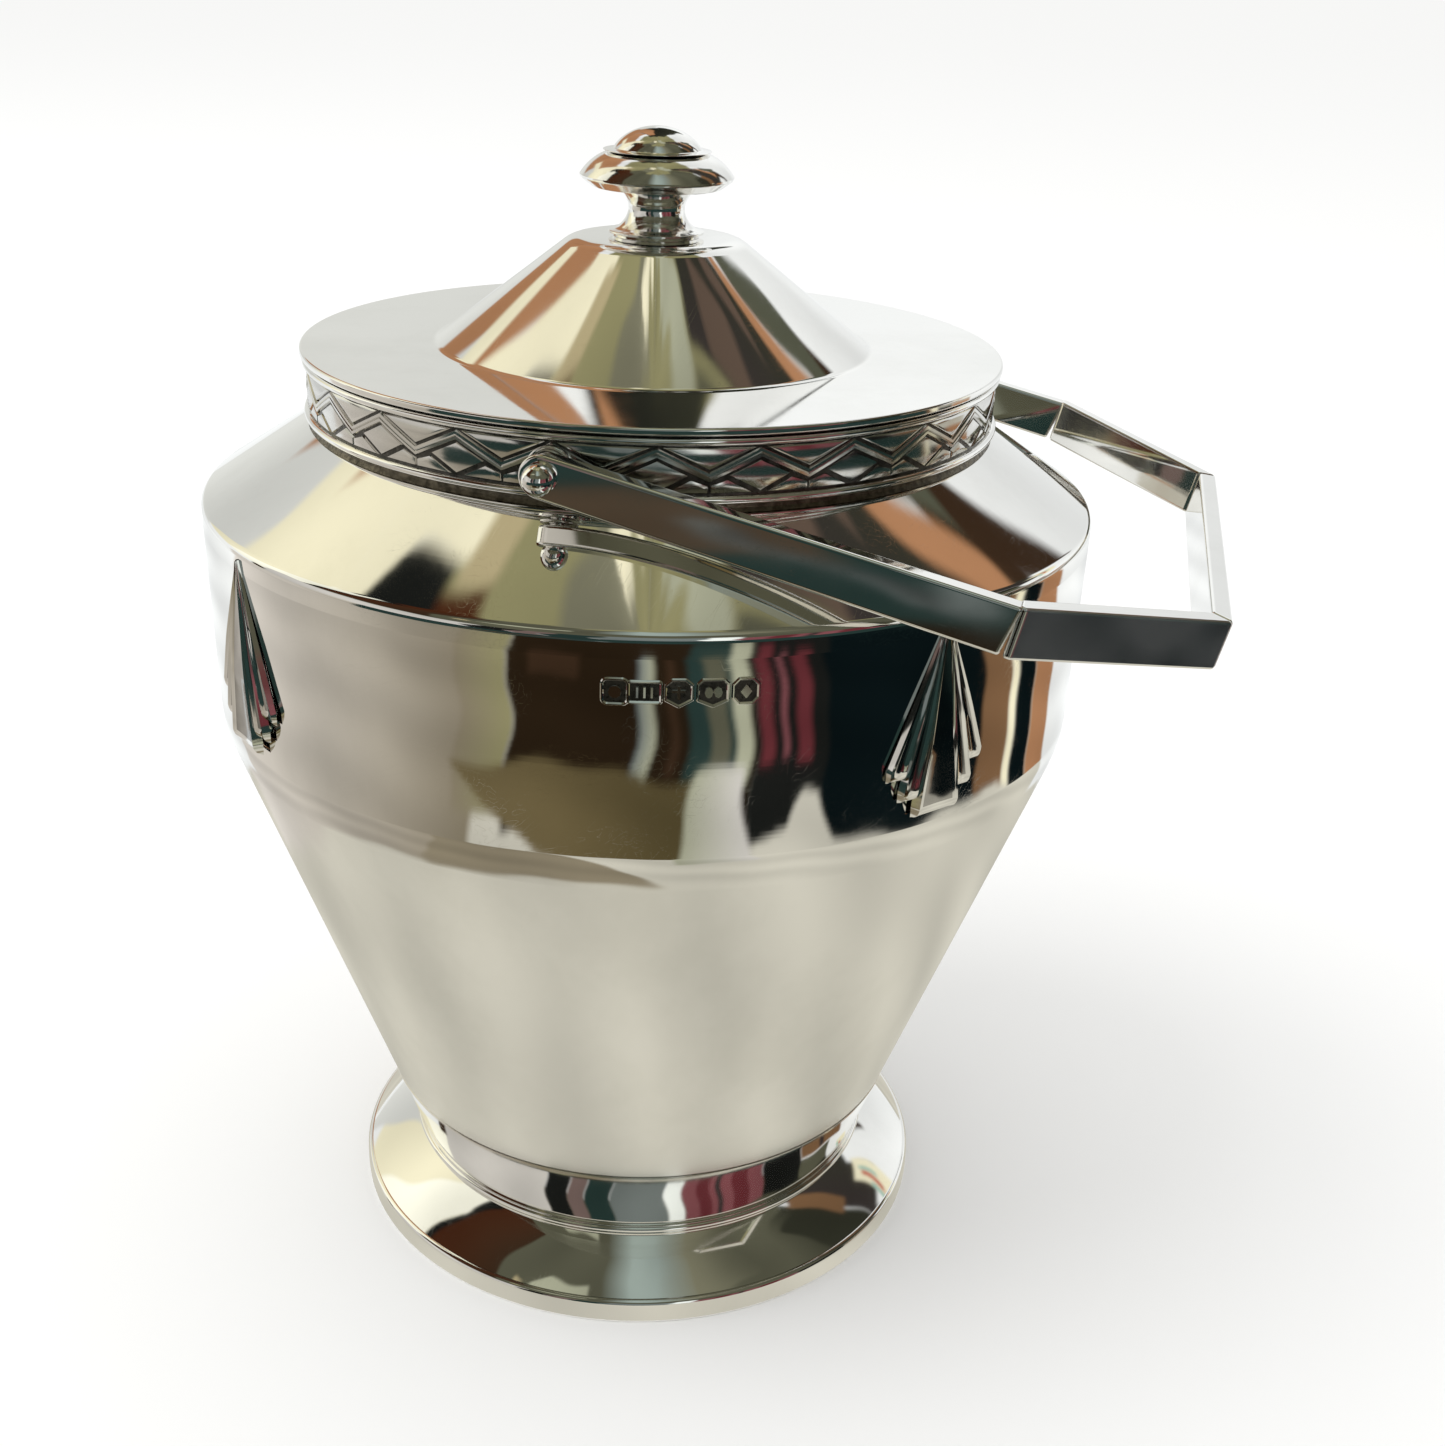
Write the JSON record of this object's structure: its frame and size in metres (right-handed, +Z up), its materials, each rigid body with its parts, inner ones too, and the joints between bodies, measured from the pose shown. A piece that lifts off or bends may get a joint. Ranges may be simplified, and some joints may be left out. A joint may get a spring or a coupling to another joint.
{
  "type": "lidded silver barrel",
  "caption": "Lidded silver barrel on a spreading foot, with a zigzag neck band, pleated fans, a turned finial and a swinging bail handle.",
  "frame": {"origin": "centre of the base box on the table plane: the handle leans to +X, so the vessel's own axis stands at X = -8.55 mm", "axes": "+Z up along the vessel's axis; the handle's hinge axis runs along Y, and the handle leans to +X at rest"},
  "size_m": [0.137, 0.12, 0.1568],
  "materials": {
    "polished_silver": "mirror polished, with fine scratches",
    "satin_silver": "softly worn satin",
    "oxidised_silver": "polished relief over darkened recesses"
  },
  "bodies": {
    "vessel": {"foot_rim_wire": "polished_silver", "foot_flange": "polished_silver", "foot_bead": "polished_silver", "foot_ring": "polished_silver", "body_shell": "satin_silver", "shoulder": "polished_silver", "neck_collar": "satin_silver", "frieze_band": "oxidised_silver", "neck_bottom_wire": "polished_silver", "neck_top_wire": "polished_silver", "fan_1": "polished_silver", "fan_2": "polished_silver", "fan_3": "polished_silver", "fan_4": "polished_silver", "pivot_pin_near": "polished_silver", "pivot_pin_far": "polished_silver", "pivot_boss_near": "polished_silver", "pivot_boss_far": "polished_silver", "pivot_washer_near": "satin_silver", "pivot_washer_far": "satin_silver"},
    "handle": {"handle_arm_near": "polished_silver", "handle_arm_far": "polished_silver", "handle_knee_near": "polished_silver", "handle_knee_far": "polished_silver", "handle_grip": "polished_silver"},
    "lid": {"lid_plate": "polished_silver", "lid_bezel": "satin_silver", "finial_stem": "polished_silver", "finial_saucer": "polished_silver", "finial_cap": "polished_silver", "finial_stud": "satin_silver", "finial_washer": "satin_silver", "finial_nut": "satin_silver"}
  },
  "joints": [
    {"name": "handle_swing", "type": "hinge", "parent": "vessel", "child": "handle", "pos_m": [-0.00855, 0, 0.12385], "axis": [0, -1, 0], "range_deg": [0, 205.7]},
    {"name": "lid_lift", "type": "slide", "parent": "vessel", "child": "lid", "axis": [0, 0, 1], "range_m": [0, 0.04]}
  ]
}
